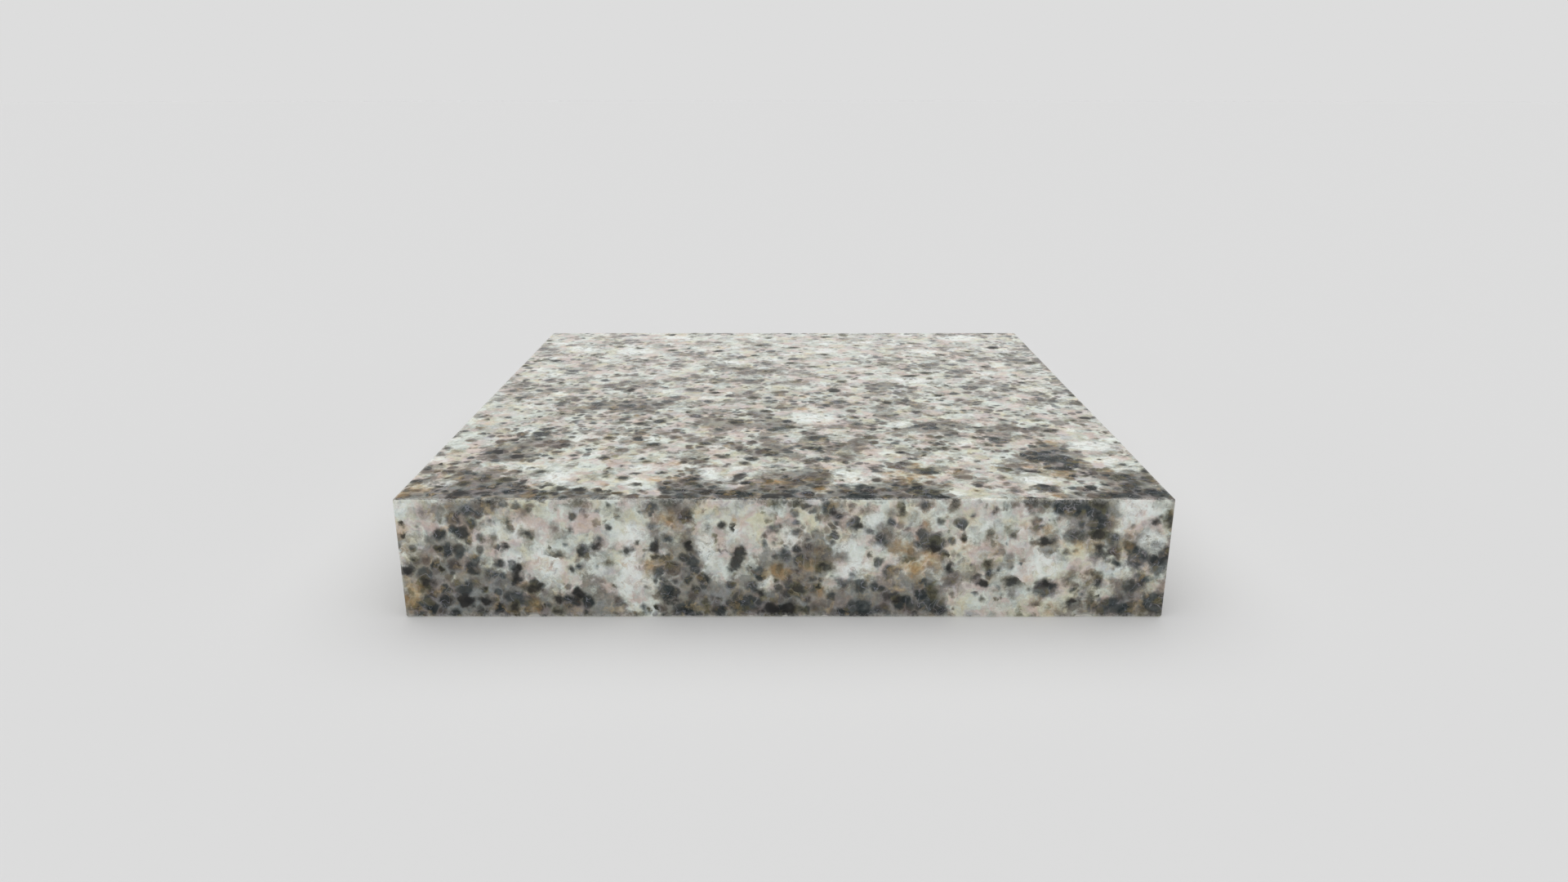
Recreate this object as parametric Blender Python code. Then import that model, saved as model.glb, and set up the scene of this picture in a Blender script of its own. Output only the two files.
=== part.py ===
"""Granite tooling slab: one solid block of stone with every arris eased.

Frame: metres, +Z up, origin at the centre of the underside, front face towards -Y.
"""

import bmesh
import bpy
from mathutils import Vector

# Driving dimensions, in metres
SLAB_WIDTH = 0.3048          # along X, 12 in
SLAB_DEPTH = 0.3048          # along Y, 12 in
SLAB_THICKNESS = 0.0508      # along Z, 2 in
TOP_ARRIS = 0.0008           # rounding where the polished top meets the sides
CORNER_ARRIS = 0.0010        # rounding down each of the four upright corners
UNDERSIDE_ARRIS = 0.0008     # rounding where the sawn underside meets the sides
ARRIS_SEGMENTS = 4           # facets across each rounding

# Finish
GRANITE_COLOUR = (0.310, 0.305, 0.280, 1.0)
GRANITE_ROUGHNESS = 0.30
GRANITE_METALLIC = 0.0

AXIS_X, AXIS_Y, AXIS_Z = range(3)
FLAT_ANGLE = 0.35            # radians, sharper creases than this stay sharp in shading


def remove_scene_objects():
    """Clear the scene's own objects, so only the slab is left."""
    for scene_object in list(bpy.data.objects):
        bpy.data.objects.remove(scene_object, do_unlink=True)


def granite_material():
    """Plain mid-grey stone, polished, with no metal in it."""
    material = bpy.data.materials.new("granite")
    material.use_nodes = True
    shader = material.node_tree.nodes["Principled BSDF"]
    shader.inputs["Base Color"].default_value = GRANITE_COLOUR
    shader.inputs["Roughness"].default_value = GRANITE_ROUGHNESS
    shader.inputs["Metallic"].default_value = GRANITE_METALLIC
    material.diffuse_color = GRANITE_COLOUR
    return material


def arris_width(edge):
    """The rounding an edge of the sharp block gets: upright, top or underside."""
    start, end = (corner.co for corner in edge.verts)
    if abs(end[AXIS_Z] - start[AXIS_Z]) > SLAB_THICKNESS / 2:
        return CORNER_ARRIS
    if start[AXIS_Z] > SLAB_THICKNESS / 2:
        return TOP_ARRIS
    return UNDERSIDE_ARRIS


def sharp_block():
    """The block as sawn, each edge weighted by its share of the widest arris."""
    widest_arris = max(TOP_ARRIS, CORNER_ARRIS, UNDERSIDE_ARRIS)
    block = bmesh.new()
    bmesh.ops.create_cube(block, size=1.0)
    bmesh.ops.scale(block, vec=Vector((SLAB_WIDTH, SLAB_DEPTH, SLAB_THICKNESS)), verts=block.verts)
    bmesh.ops.translate(block, vec=Vector((0, 0, SLAB_THICKNESS / 2)), verts=block.verts)
    weight = block.edges.layers.float.new("bevel_weight_edge")
    for edge in block.edges:
        edge[weight] = arris_width(edge) / widest_arris
    mesh = bpy.data.meshes.new("granite_slab")
    block.to_mesh(mesh)
    block.free()
    return mesh, widest_arris


def granite_slab():
    """The finished slab: the sawn block with a Bevel that rounds its arrises."""
    mesh, widest_arris = sharp_block()
    mesh.materials.append(granite_material())
    mesh.shade_smooth()
    mesh.set_sharp_from_angle(angle=FLAT_ANGLE)
    slab = bpy.data.objects.new("granite_slab", mesh)
    bpy.context.scene.collection.objects.link(slab)
    easing = slab.modifiers.new("eased arrises", "BEVEL")
    easing.limit_method = "WEIGHT"
    easing.width = widest_arris
    easing.segments = ARRIS_SEGMENTS
    easing.harden_normals = False
    return slab


remove_scene_objects()
granite_slab()
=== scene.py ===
import math

import bpy
import numpy as np
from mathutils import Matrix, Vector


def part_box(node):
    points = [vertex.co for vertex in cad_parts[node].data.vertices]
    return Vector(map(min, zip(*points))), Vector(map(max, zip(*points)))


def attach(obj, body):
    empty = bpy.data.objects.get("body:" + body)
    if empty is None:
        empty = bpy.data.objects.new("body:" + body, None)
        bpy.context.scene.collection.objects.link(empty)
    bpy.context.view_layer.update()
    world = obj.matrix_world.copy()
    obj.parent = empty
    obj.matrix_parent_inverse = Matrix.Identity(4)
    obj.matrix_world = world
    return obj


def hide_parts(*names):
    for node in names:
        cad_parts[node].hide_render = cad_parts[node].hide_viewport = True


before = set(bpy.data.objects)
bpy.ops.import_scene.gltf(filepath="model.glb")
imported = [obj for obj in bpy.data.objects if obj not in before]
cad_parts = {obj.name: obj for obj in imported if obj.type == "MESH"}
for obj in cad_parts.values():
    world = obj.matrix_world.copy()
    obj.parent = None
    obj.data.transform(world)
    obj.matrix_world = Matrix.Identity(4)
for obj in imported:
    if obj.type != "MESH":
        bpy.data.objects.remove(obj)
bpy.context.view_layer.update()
slabLow, slabHigh = (np.array(corner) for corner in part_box("granite_slab"))
slabMiddle = (slabLow + slabHigh) / 2
slabHalf = (slabHigh - slabLow) / 2       # half the width, depth and thickness
slabTop = slabHigh[2]
slabBase = slabLow[2]
toMillimetres = 1000.0

viewSettings = {
    "place": (0.0, -0.5387, 0.2002),      # metres, in front of the slab and a little above it
    "pitchDown": 18.0,                    # degrees below the horizon
    "lens": 24.44,                        # millimetres
    "sensor": 36.0,                       # millimetres across
    "nearest": 0.01,
    "farthest": 200.0,
}


def placeCamera(settings):
    # in front of the slab, tipped down by pitchDown
    cameraData = bpy.data.cameras.new("studioCamera")
    cameraData.sensor_width = settings["sensor"]
    cameraData.lens = settings["lens"]
    cameraData.clip_start = settings["nearest"]
    cameraData.clip_end = settings["farthest"]
    camera = bpy.data.objects.new("studioCamera", cameraData)
    camera.location = settings["place"]
    camera.rotation_euler = (math.radians(90.0 - settings["pitchDown"]), 0.0, 0.0)
    bpy.context.scene.collection.objects.link(camera)
    bpy.context.scene.camera = camera


placeCamera(viewSettings)
print("camera placed")

# Lengths in metres
blockSettings = {
    "cornerRadius": 0.0010,     # rounding down each upright corner
    "topArris": 0.0008,         # rounding between the top and the sides
    "baseArris": 0.0008,        # rounding between the sides and the underside
    "arrisWander": 0.00016,     # how much the hand-eased arris widens and narrows
    "topWaves": (2, 5, 9, 17, 31),          # waves of that wander, counted round the block
    "baseWaves": (3, 7, 13, 23),
    "sideColumns": 336,         # columns along one side, a multiple of 3
    "cornerColumns": 4,         # columns round one upright corner
    "sideRows": 31,             # rows down the flat of a side
    "arrisRows": 5,             # rows over each arris
    "flatRings": (0.0003, 0.0009, 0.0020, 0.0038, 0.0062),   # rings on the flats, in from the arris
    "topSeed": 3,               # seeds of the two wobbles
    "baseSeed": 4,
    "topChips": 22,             # tiny chips along the top arris
    "topBite": 0.00050,         # how deep the deepest goes
    "baseChips": 46,            # chips along the underside's arris, which takes the knocks
    "baseBite": 0.00110,
    "chipSeed": 11,
    "chipStretch": 0.97,        # share of a side's half width where chips may lie
    "chipSmallest": 0.25,       # bite of the shallowest chip, as a share of the deepest
    "chipWidth": (2.5, 5.0),    # radius of a chip, in bites
    "chipLean": (30, 60),       # degrees it leans up or down
    "chipSink": 0.0003,         # how far the eased arris lies inside the square corner
}
faceTop, faceBase = 0, 5        # the six faces: top, front, right, back, left, underside


def sideFrame(side):
    # outward and sideways directions of a side: 0 front, 1 right, 2 back, 3 left, a quarter turn each
    quarter = side * np.pi / 2
    facing = np.array([np.sin(quarter), -np.cos(quarter)])
    sideways = np.array([np.cos(quarter), np.sin(quarter)])
    return facing, sideways


def wander(along, seed, waves, size):
    # a smooth wobble: a sum of sines with whole numbers of waves round the block
    draw = np.random.default_rng(seed)
    total = np.zeros_like(along)
    for count in waves:
        total += np.sin(2 * np.pi * count * along + draw.uniform(0, 2 * np.pi)) / len(waves) ** 0.5
    return size * total


def planOutline(settings):
    # The outline from above, as points of a unit square and outward directions. A point of the block
    # lies at unit point x (half - inset - corner radius) + corner radius x direction.
    count = settings["sideColumns"]
    steps = settings["cornerColumns"]
    run = np.linspace(-1.0, 1.0, count + 1)
    turn = np.linspace(0.0, np.pi / 2, steps + 1)[1:-1]
    edges, directions = [], []
    for side in range(4):
        facing, sideways = sideFrame(side)
        edges.append(facing + run[:, None] * sideways)
        directions.append(np.repeat(facing[None], count + 1, 0))
        edges.append(np.repeat((facing + sideways)[None], steps - 1, 0))
        directions.append(np.cos(turn)[:, None] * facing + np.sin(turn)[:, None] * sideways)
    return np.concatenate(edges), np.concatenate(directions)


def sideProfile(settings, along):
    # Inset and height for every row and column: in along the top flat, a quarter circle over the
    # top arris, straight down the side, a quarter circle under, and in along the underside.
    rings = np.array(settings["flatRings"])[:, None]
    bend = np.linspace(0.0, np.pi / 2, settings["arrisRows"] + 1)[:, None]
    most = settings["arrisWander"]
    topRound = settings["topArris"] + wander(along, settings["topSeed"], settings["topWaves"], most)
    baseRound = settings["baseArris"] + wander(along, settings["baseSeed"], settings["baseWaves"], most)
    down = np.linspace(0.0, 1.0, settings["sideRows"] + 1)[1:-1, None]
    sideTop = slabTop - topRound
    sideBase = slabBase + baseRound
    level = np.ones_like(along)
    insets = [
        (rings + topRound)[::-1],
        topRound * (1 - np.sin(bend)),
        0 * down * level,
        baseRound * (1 - np.cos(bend)),
        rings + baseRound,
    ]
    heights = [
        slabTop + 0 * rings * level,
        slabTop - topRound * (1 - np.cos(bend)),
        sideTop + (sideBase - sideTop) * down,
        slabBase + baseRound * (1 - np.sin(bend)),
        slabBase + 0 * rings * level,
    ]
    return np.concatenate(insets), np.concatenate(heights)


def flatGrid(settings, arris, height):
    # a square grid for the inside of a flat face, one cell to every three columns of the side
    cells = settings["sideColumns"] // 3
    step = 2 * slabHalf[:2] / cells
    inset = settings["flatRings"][-1] + arris + step
    run = np.linspace(-1.0, 1.0, cells + 1)
    across, away = np.meshgrid(run, run, indexing="ij")
    reach = slabHalf[:2] - inset
    points = np.stack([across * reach[0], away * reach[1], np.full_like(across, height)], -1)
    return points.reshape(-1, 3), cells


def gridRim(cells):
    # indices of the grid's rim in the order of the outline: front, right, back, left
    index = np.arange((cells + 1) ** 2).reshape(cells + 1, cells + 1)
    return [index[:, 0], index[-1, :], index[::-1, -1], index[0, ::-1]]


def chipAway(points, settings):
    # Knocks shell-shaped chips off the arrises. Each is a sphere whose middle lies outside the stone:
    # points within it are pushed straight away from its middle on to its surface.
    draw = np.random.default_rng(settings["chipSeed"])
    whole = points.copy()
    stretch, smallest, sink = settings["chipStretch"], settings["chipSmallest"], settings["chipSink"]
    for height, upward, count, biggest in (
        (slabTop, 1.0, settings["topChips"], settings["topBite"]),
        (slabBase, -1.0, settings["baseChips"], settings["baseBite"]),
    ):
        for _ in range(count):
            facing, sideways = sideFrame(draw.integers(4))
            where = draw.uniform(-stretch, stretch)
            bite = biggest * (smallest + (1 - smallest) * draw.uniform() ** 2)
            radius = bite * draw.uniform(*settings["chipWidth"])
            lean = math.radians(draw.uniform(*settings["chipLean"]))
            arris = np.append((facing + sideways * where) * slabHalf[:2], height)
            outward = np.append(facing * np.cos(lean), upward * np.sin(lean))
            middle = arris + outward * (radius - bite - sink)
            away = points - middle
            distance = np.linalg.norm(away, axis=1)
            inside = distance < radius
            points[inside] = middle + away[inside] * (radius / distance[inside])[:, None]
    return points, np.linalg.norm(points - whole, axis=1)


def layOutCharts(corners, chart):
    # Flat places for the six faces on one square map: the top gets the most room, the four sides
    # the same scale beside it, and the underside the corner that is left.
    margin = 0.003          # of the map's width
    topSpan = 0.712
    sideSpan = topSpan * slabHalf[2] / slabHalf[0]
    x, y = (corners[:, :2] / (2 * slabHalf[:2]) + 0.5).T
    z = (corners[:, 2] - slabBase) / (slabTop - slabBase)
    first = topSpan + 2 * margin
    second = first + sideSpan + 2 * margin
    baseSpan = 1.0 - first - margin
    places = [
        (margin + x * topSpan, margin + y * topSpan),                  # top
        (margin + x * topSpan, first + z * sideSpan),                  # front
        (first + z * sideSpan, margin + y * topSpan),                  # right
        (margin + x * topSpan, second + z * sideSpan),                 # back
        (second + z * sideSpan, margin + y * topSpan),                 # left
        (first + x * baseSpan, first + y * baseSpan),                  # underside
    ]
    across = np.choose(chart, [place[0] for place in places])
    along = np.choose(chart, [place[1] for place in places])
    return np.stack([across, along], 1)


def carveBlock(settings):
    # the whole closed skin: a profile carried round the outline, closed by a grid above and below
    edges, directions = planOutline(settings)
    columns = len(edges)
    insets, heights = sideProfile(settings, np.arange(columns) / columns)
    rows = len(insets)
    radius = settings["cornerRadius"]
    reach = slabHalf[:2] - insets[..., None] - radius
    plan = edges * reach + radius * directions
    skin = np.concatenate([plan, heights[..., None]], -1).reshape(-1, 3)
    topGrid, cells = flatGrid(settings, settings["topArris"], slabTop)
    baseGrid, _ = flatGrid(settings, settings["baseArris"], slabBase)
    topStart = len(skin)
    baseStart = topStart + len(topGrid)
    points = np.concatenate([skin, topGrid, baseGrid])
    points[:, :2] += slabMiddle[:2]

    # the band round the sides, row by row
    index = np.arange(rows * columns).reshape(rows, columns)
    after = np.roll(index, -1, axis=1)
    band = np.stack([index[:-1], index[1:], after[1:], after[:-1]], -1)
    sideOfColumn = np.arange(columns) // (columns // 4)
    bandChart = np.repeat(1 + sideOfColumn[None], rows - 1, 0)
    flatRows = len(settings["flatRings"]) + settings["arrisRows"] // 2
    bandChart[:flatRows] = faceTop
    bandChart[-flatRows:] = faceBase
    faces = band.reshape(-1, 4).tolist()
    chart = bandChart.reshape(-1).tolist()

    # the flats: a grid, six-sided faces that step from three columns to one cell, and a fan at each corner
    inner = np.arange((cells + 1) ** 2).reshape(cells + 1, cells + 1)
    square = np.stack([inner[:-1, :-1], inner[1:, :-1], inner[1:, 1:], inner[:-1, 1:]], -1).reshape(-1, 4)
    steps = settings["cornerColumns"]
    for start, ring, flip, name in (
        (topStart, index[0], False, faceTop),
        (baseStart, index[-1], True, faceBase),
    ):
        groups = [square + start]
        for side, rim in enumerate(gridRim(cells)):
            rim = rim + start
            first = side * (columns // 4)
            outer = ring[first:first + settings["sideColumns"] + 1]
            thirds = [outer[0:-3:3], outer[1:-2:3], outer[2:-1:3], outer[3::3], rim[1:], rim[:-1]]
            groups.append(np.stack(thirds, -1))
            corner = [ring[(first + settings["sideColumns"] + k) % columns] for k in range(steps + 1)]
            groups.append(np.array([corner + [rim[-1]]]))
        for group in groups:
            faces += (group[:, ::-1] if flip else group).tolist()
            chart += [name] * len(group)
    return points, faces, np.array(chart)


# Where the stone's minerals gather. The front and the top are read as one sheet: millimetres along from
# the left corner, then millimetres up the front from its bottom edge, or back over the top from its front
# edge, so both show the same run of stone.
mineralSettings = {
    # soft clouds of quartz: along, climb, half sizes, strength (below 0 the stone holds less there)
    "quartzClouds": (
        (30, 2, 34, 11, 1.4), (32, 16, 16, 9, 0.9), (18, 29, 9, 7, 0.5), (6, 22, 8, 7, 0.5),
        (76, 2, 9, 8, 0.9), (30, 49, 11, 4, 0.7), (128, 3, 30, 12, 1.3), (112, 22, 10, 11, 0.9),
        (110, 48, 8, 4, 0.6), (146, 22, 10, 9, 0.4), (164, 28, 11, 8, 0.9), (160, 17, 10, 7, 0.8),
        (188, 3, 26, 11, 1.3), (204, 13, 14, 8, 0.8), (211, 32, 8, 6, 0.5), (192, 34, 6, 5, 0.4),
        (172, 48, 7, 4, 0.4), (268, 45, 11, 8, 0.9), (276, 34, 9, 9, 0.5), (297, 21, 9, 8, 0.6),
        (294, 5, 16, 9, 1.0), (58, 36, 24, 9, -0.6), (62, 23, 11, 9, -0.8), (91, 18, 8, 8, -0.7),
        (124, 27, 7, 10, -0.6), (135, 40, 12, 7, -0.5), (92, 36, 9, 6, -0.6), (181, 25, 9, 8, -0.8),
        (230, 42, 10, 8, -0.5), (229, 5, 9, 8, -0.5), (250, 21, 15, 7, -0.7), (248, 5, 9, 6, -0.4),
        (291, 46, 8, 6, -0.9), (4, 46, 8, 6, -0.8), (150, 33, 9, 6, -0.2), (12, 39, 8, 4, -0.3),
        (77, 132, 15, 12, 0.8), (44, 85, 16, 10, 0.6), (31, 56, 10, 8, 0.6), (268, 56, 13, 9, 0.9),
        (222, 96, 12, 8, 0.6), (257, 90, 14, 10, 0.5), (134, 104, 15, 12, 0.6), (238, 214, 10, 11, 0.6),
        (115, 208, 8, 9, 0.4), (12, 170, 12, 5, 0.7), (132, 178, 15, 8, 0.5), (290, 228, 9, 10, 0.5),
        (50, 275, 10, 12, 0.4), (96, 243, 10, 8, 0.4), (165, 62, 26, 12, 0.3), (290, 84, 14, 22, -0.7),
        (167, 110, 12, 9, -0.8), (60, 252, 14, 10, -0.6), (195, 200, 18, 12, -0.4),
        (190, 272, 40, 22, -0.3), (22, 200, 16, 14, -0.3), (262, 150, 22, 14, -0.3), (59, 274, 7, 6, 0.5),
        (103, 277, 6, 5, 0.5), (145, 249, 5, 5, 0.5), (203, 291, 6, 5, 0.4), (222, 272, 12, 8, 0.5),
        (258, 296, 7, 5, 0.4), (208, 225, 6, 5, 0.5), (94, 219, 8, 7, 0.6), (175, 186, 5, 4, 0.5),
        (59, 167, 5, 5, 0.5), (137, 171, 6, 5, 0.5), (200, 167, 8, 6, 0.4), (219, 167, 7, 6, 0.4),
        (137, 149, 7, 5, 0.5), (156, 127, 6, 5, 0.5), (200, 139, 8, 6, 0.5), (219, 133, 6, 6, 0.5),
        (247, 135, 8, 6, 0.5), (120, 122, 6, 5, 0.5), (137, 117, 8, 6, 0.6), (275, 96, 8, 8, 0.6),
        (80, 290, 20, 8, -0.5), (268, 280, 16, 12, -0.5), (240, 250, 14, 10, -0.4),
        (30, 255, 12, 9, -0.5), (175, 250, 12, 12, -0.5), (118, 290, 14, 8, -0.4),
        (236, 178, 14, 10, -0.5), (85, 190, 14, 10, -0.5), (172, 292, 14, 6, -0.4), (86, 18, 9, 7, -0.4),
        (140, 27, 6, 8, -0.4), (220, 8, 10, 8, -0.5), (168, 11, 6, 7, -0.8), (94, 8, 9, 8, -0.8),
        # the last cloud on the next line is broad and below 0 over the back of the top, so the top grows
        # paler towards the back: partly the stone's own paler back, partly painted sheen standing in for
        # the brighter polish seen there at grazing angles
        (150, 12, 6, 5, -0.4), (62, 12, 5, 7, -0.3), (152, 3, 160, 9, 0.25), (152, 290, 190, 70, -0.15),
    ),
    # rust and ochre bled from the iron in the dark minerals
    "rustClouds": (
        (4, 10, 7, 9, 1.0), (50, 5, 8, 6, 0.5), (99, 22, 4, 6, 0.7), (107, 43, 6, 4, 0.5),
        (150, 20, 8, 6, 0.9), (166, 12, 6, 6, 0.8), (205, 23, 11, 9, 1.0), (222, 32, 6, 4, 0.7),
        (256, 35, 9, 5, 0.6), (259, 4, 5, 4, 0.6), (286, 34, 6, 5, 0.5), (270, 30, 5, 4, 0.5),
        (38, 44, 12, 5, 0.4), (38, 215, 6, 6, 0.6), (162, 126, 7, 5, 0.6), (275, 72, 6, 5, 0.5),
    ),
    # single grains: along, climb, half sizes, lean in degrees
    "darkGrains": (
        (291.7, 25.4, 3.8, 4.7, 0), (290.7, 13.8, 3.3, 3.5, 0), (295.2, 17.3, 3.4, 2.0, 0),
        (300.5, 22.5, 3.0, 4.4, 10), (300.3, 6.6, 5.4, 4.6, 0), (281.0, 4.6, 6.0, 3.8, 0),
        (288.5, 3.7, 4.2, 2.8, 0), (275.3, 45.0, 3.8, 5.2, 0), (265.0, 48.6, 10.0, 4.2, 0),
        (274.4, 38.8, 3.4, 3.0, 0), (267.4, 35.2, 4.4, 2.7, 0), (256.5, 12.8, 4.9, 4.0, 0),
        (211.0, 32.0, 5.6, 4.0, 0), (209.9, 7.0, 4.0, 4.4, 0), (182.4, 3.7, 6.4, 4.2, 0),
        (191.0, 33.7, 3.6, 2.2, -25), (183.0, 13.7, 3.4, 3.2, 0), (175.7, 15.4, 3.4, 2.0, 0),
        (148.6, 38.3, 2.3, 2.1, 0), (135.4, 5.8, 5.4, 4.2, 0), (113.8, 3.7, 4.8, 3.6, 0),
        (105.0, 11.6, 3.5, 3.7, 0), (116.7, 23.8, 3.0, 2.0, 0), (23.8, 29.5, 2.5, 2.1, 0),
        (30.0, 25.0, 3.4, 2.6, 20), (44.6, 9.0, 4.2, 2.8, 0), (28.3, 46.2, 2.4, 2.2, 0),
        (170.3, 48.3, 3.0, 2.2, 0), (20.0, 31.2, 1.8, 2.0, 0), (33.3, 34.3, 1.5, 1.7, 0),
        (214.0, 3.0, 4.4, 2.6, 0), (157.4, 37.0, 2.0, 1.4, 0), (282.0, 34.1, 2.1, 2.3, 0),
        (266.5, 56.0, 3.6, 3.0, 20), (273.0, 50.0, 3.0, 3.6, 0), (40.6, 84.0, 5.0, 4.0, 0),
        (150.4, 92.4, 6.0, 3.0, 10), (167.7, 78.2, 4.4, 3.8, 0), (217.0, 96.4, 4.4, 2.6, 10),
        (223.5, 93.0, 3.2, 2.6, 0), (250.0, 73.0, 4.0, 3.6, 0), (57.0, 136.0, 4.6, 2.4, 10),
        (92.5, 139.0, 3.6, 2.8, 0), (38.6, 136.0, 3.4, 2.4, 0), (180.0, 138.0, 4.6, 3.8, 0),
        (80.5, 126.0, 3.0, 4.0, 0), (74.0, 131.0, 3.4, 2.4, 0), (140.0, 270.0, 2.8, 4.2, -15),
        (172.8, 285.5, 2.6, 2.6, 0), (290.7, 228.6, 4.4, 4.4, 0), (44.7, 204.0, 3.2, 2.4, 0),
        (61.0, 297.7, 3.2, 2.6, 0), (194.0, 229.6, 3.2, 2.6, 0), (10.0, 284.5, 2.6, 2.6, 0),
        (120.0, 239.0, 3.0, 2.6, 0), (208.0, 235.0, 4.0, 3.0, 0), (258.0, 227.0, 3.6, 3.6, 0),
    ),
    "brownGrains": (
        (36.3, 48.2, 5.2, 3.2, 0), (251.0, 40.4, 1.9, 3.4, 0), (233.0, 23.7, 2.4, 1.9, 0),
        (241.5, 25.0, 2.1, 2.9, 10), (242.4, 17.0, 1.9, 1.8, 0), (243.2, 10.8, 2.1, 2.3, 0),
        (114.0, 34.2, 2.7, 3.1, 0), (110.5, 47.0, 2.7, 3.3, 0), (156.6, 17.9, 5.2, 3.6, 0),
        (204.5, 27.0, 2.5, 1.9, 0), (175.7, 26.6, 2.2, 2.3, 0), (107.5, 20.0, 3.7, 2.1, 15),
        (218.2, 15.8, 2.3, 2.2, 0), (280.3, 40.4, 1.8, 2.4, 0), (62.0, 39.5, 1.9, 2.2, 0),
        (195.0, 45.0, 2.1, 1.8, 0), (267.4, 20.0, 1.7, 2.5, -30), (194.5, 19.5, 1.9, 1.8, 0),
        (11.3, 45.4, 1.5, 1.8, 0), (166.6, 27.9, 6.2, 4.0, 0), (190.5, 38.8, 3.0, 2.4, 0),
        (176.8, 95.4, 5.0, 4.0, 0), (186.0, 72.0, 4.8, 6.0, 0), (111.8, 75.0, 4.0, 5.0, 0),
        (67.0, 85.0, 3.0, 4.0, 0), (258.0, 94.0, 6.0, 5.0, 0), (284.5, 101.5, 4.6, 4.6, 0),
        (9.0, 170.7, 5.0, 2.6, 0), (238.8, 218.0, 4.0, 4.6, 0), (142.0, 203.0, 4.8, 5.0, 0),
        (37.6, 215.0, 4.8, 4.6, 0), (92.5, 243.0, 5.8, 4.6, 0), (126.0, 180.0, 4.6, 3.4, 0),
        (135.0, 177.0, 3.6, 3.0, 0),
    ),
    "blackFlakes": (
        (255.3, 32.9, 3.8, 1.9, 0), (256.5, 15.0, 3.8, 2.1, 0), (231.0, 15.4, 3.2, 1.7, -38),
        (278.0, 28.6, 1.8, 4.6, 25), (296.5, 40.8, 2.2, 1.4, 0), (235.0, 46.0, 1.5, 1.8, 0),
        (268.6, 7.3, 2.9, 1.7, 25), (222.8, 34.8, 1.9, 1.5, -20), (217.8, 22.0, 1.3, 1.8, 20),
        (211.6, 30.2, 2.2, 1.5, -20), (182.0, 40.0, 1.4, 1.4, 0), (171.6, 44.8, 1.3, 1.4, 0),
        (198.2, 8.3, 1.9, 1.2, 25), (133.8, 25.8, 2.7, 6.0, -24), (128.4, 40.4, 1.2, 1.7, -30),
        (101.5, 30.8, 2.5, 2.3, 30), (90.6, 29.3, 2.9, 1.7, 15), (114.4, 30.8, 1.9, 2.4, -10),
        (84.0, 39.1, 1.4, 1.5, 0), (78.0, 31.2, 1.2, 2.2, -15), (107.0, 7.0, 2.7, 1.4, 0),
        (142.5, 10.8, 1.9, 1.3, 0), (147.0, 3.9, 4.2, 2.5, 0), (45.8, 18.3, 1.8, 5.6, -12),
        (55.4, 14.1, 2.7, 1.4, 45), (62.1, 7.5, 1.4, 2.2, 0), (70.4, 10.8, 2.6, 2.8, 0),
        (25.0, 7.0, 3.7, 3.2, 0), (33.2, 6.6, 4.0, 1.7, 0), (10.8, 15.4, 3.2, 1.6, -20),
        (69.2, 37.9, 1.4, 1.3, 0), (42.5, 31.8, 1.4, 1.3, 0), (67.9, 21.6, 1.4, 1.8, 0),
        (2.5, 20.8, 3.0, 2.2, 0), (154.0, 3.7, 3.2, 2.6, 0), (26.4, 59.0, 2.6, 5.0, 15),
        (36.6, 52.0, 4.2, 3.0, 0), (53.9, 68.0, 2.4, 2.2, 0), (178.9, 160.5, 3.6, 4.6, 20),
        (71.0, 160.5, 1.9, 6.0, -15), (112.0, 252.0, 3.8, 2.4, 0), (93.5, 259.0, 2.0, 2.6, 0),
        (37.6, 242.0, 2.2, 2.4, 0), (17.3, 227.6, 3.4, 2.6, 0), (155.5, 302.0, 2.8, 2.6, 0),
        (282.5, 261.0, 4.8, 3.0, 0), (299.8, 109.7, 4.0, 2.4, 0), (282.5, 176.8, 2.4, 2.4, 0),
    ),
    "whiteCrystals": (
        (255.5, 21.8, 7.4, 5.2, 0), (291.0, 47.0, 7.0, 4.6, 0), (297.0, 34.0, 4.6, 4.0, 0),
        (182.4, 22.5, 4.6, 4.4, 0), (178.0, 30.5, 4.4, 3.2, 0), (91.7, 19.1, 4.2, 7.0, 10),
        (121.7, 31.0, 3.6, 6.6, 0), (133.0, 37.5, 2.8, 2.6, 0), (58.8, 24.0, 5.4, 9.0, 0),
        (2.5, 47.5, 5.0, 3.6, 0), (46.0, 38.0, 8.0, 3.4, 0), (93.0, 36.5, 6.0, 4.0, 0),
        (166.7, 110.0, 10.0, 7.6, 0), (122.0, 223.0, 9.0, 5.0, 0), (62.0, 252.0, 11.0, 9.0, 0),
        (290.0, 66.0, 10.0, 7.0, 0), (265.0, 288.0, 12.0, 8.0, 0), (222.0, 182.0, 9.0, 7.0, 0),
        (84.0, 291.0, 12.0, 5.0, 0), (178.0, 252.0, 7.0, 6.0, 0), (28.0, 256.0, 7.0, 6.0, 0),
        (236.0, 250.0, 8.0, 6.0, 0), (120.0, 262.0, 6.0, 5.0, 0), (205.0, 276.0, 5.0, 4.0, 0),
    ),
    "ochreSpots": (
        (5.4, 12.0, 2.6, 3.8, -15), (1.2, 5.8, 2.4, 3.0, 0), (52.0, 4.1, 1.9, 2.2, 0),
        (99.4, 22.9, 1.6, 2.2, 0), (107.0, 42.5, 2.6, 2.1, 0), (133.0, 41.6, 2.1, 1.4, 0),
        (149.6, 20.0, 4.0, 2.6, 0), (167.0, 11.2, 1.9, 2.2, 0), (162.8, 22.5, 2.8, 2.0, 0),
        (203.6, 21.6, 3.6, 4.2, 0), (198.5, 30.2, 4.2, 3.0, 0), (209.9, 25.8, 3.4, 2.8, 0),
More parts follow.
